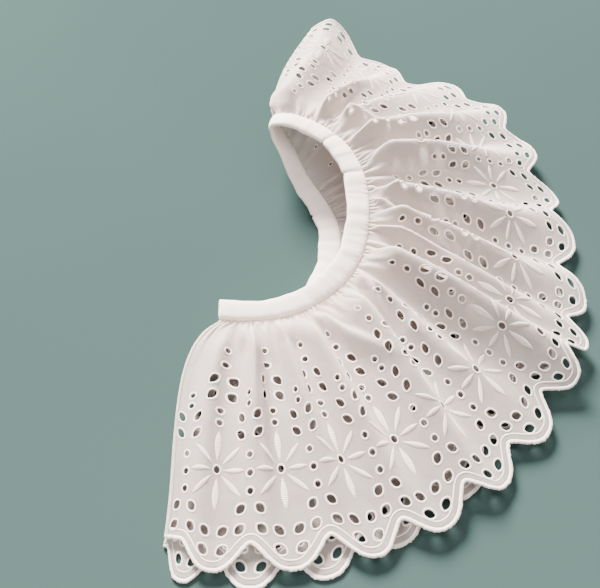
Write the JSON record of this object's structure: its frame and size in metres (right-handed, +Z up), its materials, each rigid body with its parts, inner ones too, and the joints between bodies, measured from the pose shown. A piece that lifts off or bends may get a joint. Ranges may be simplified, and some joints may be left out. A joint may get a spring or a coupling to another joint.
{
  "type": "embroidered collar",
  "caption": "Gathered white eyelet-embroidered collar on a plain neckband, with a scalloped hem, folded in half at the centre back and lying flat.",
  "frame": {"origin": "bottom centre of the lying collar's bounding box, on the table", "axes": "+Z up from the table; -Y towards the open ends of the neckband, +Y towards the fold at the centre back; the ruffle spreads towards +X from the neck"},
  "size_m": [0.1718, 0.2862, 0.0321],
  "materials": {
    "eyelet_cotton": "plain-woven white cotton lawn with white satin-stitch embroidery, matte",
    "bias_binding": "plain-woven white cotton bias binding, matte, slightly puffed"
  },
  "bodies": {
    "root": {"ruffle_upper": "eyelet_cotton", "ruffle_lower": "eyelet_cotton", "neck_band": "bias_binding"}
  },
  "joints": []
}
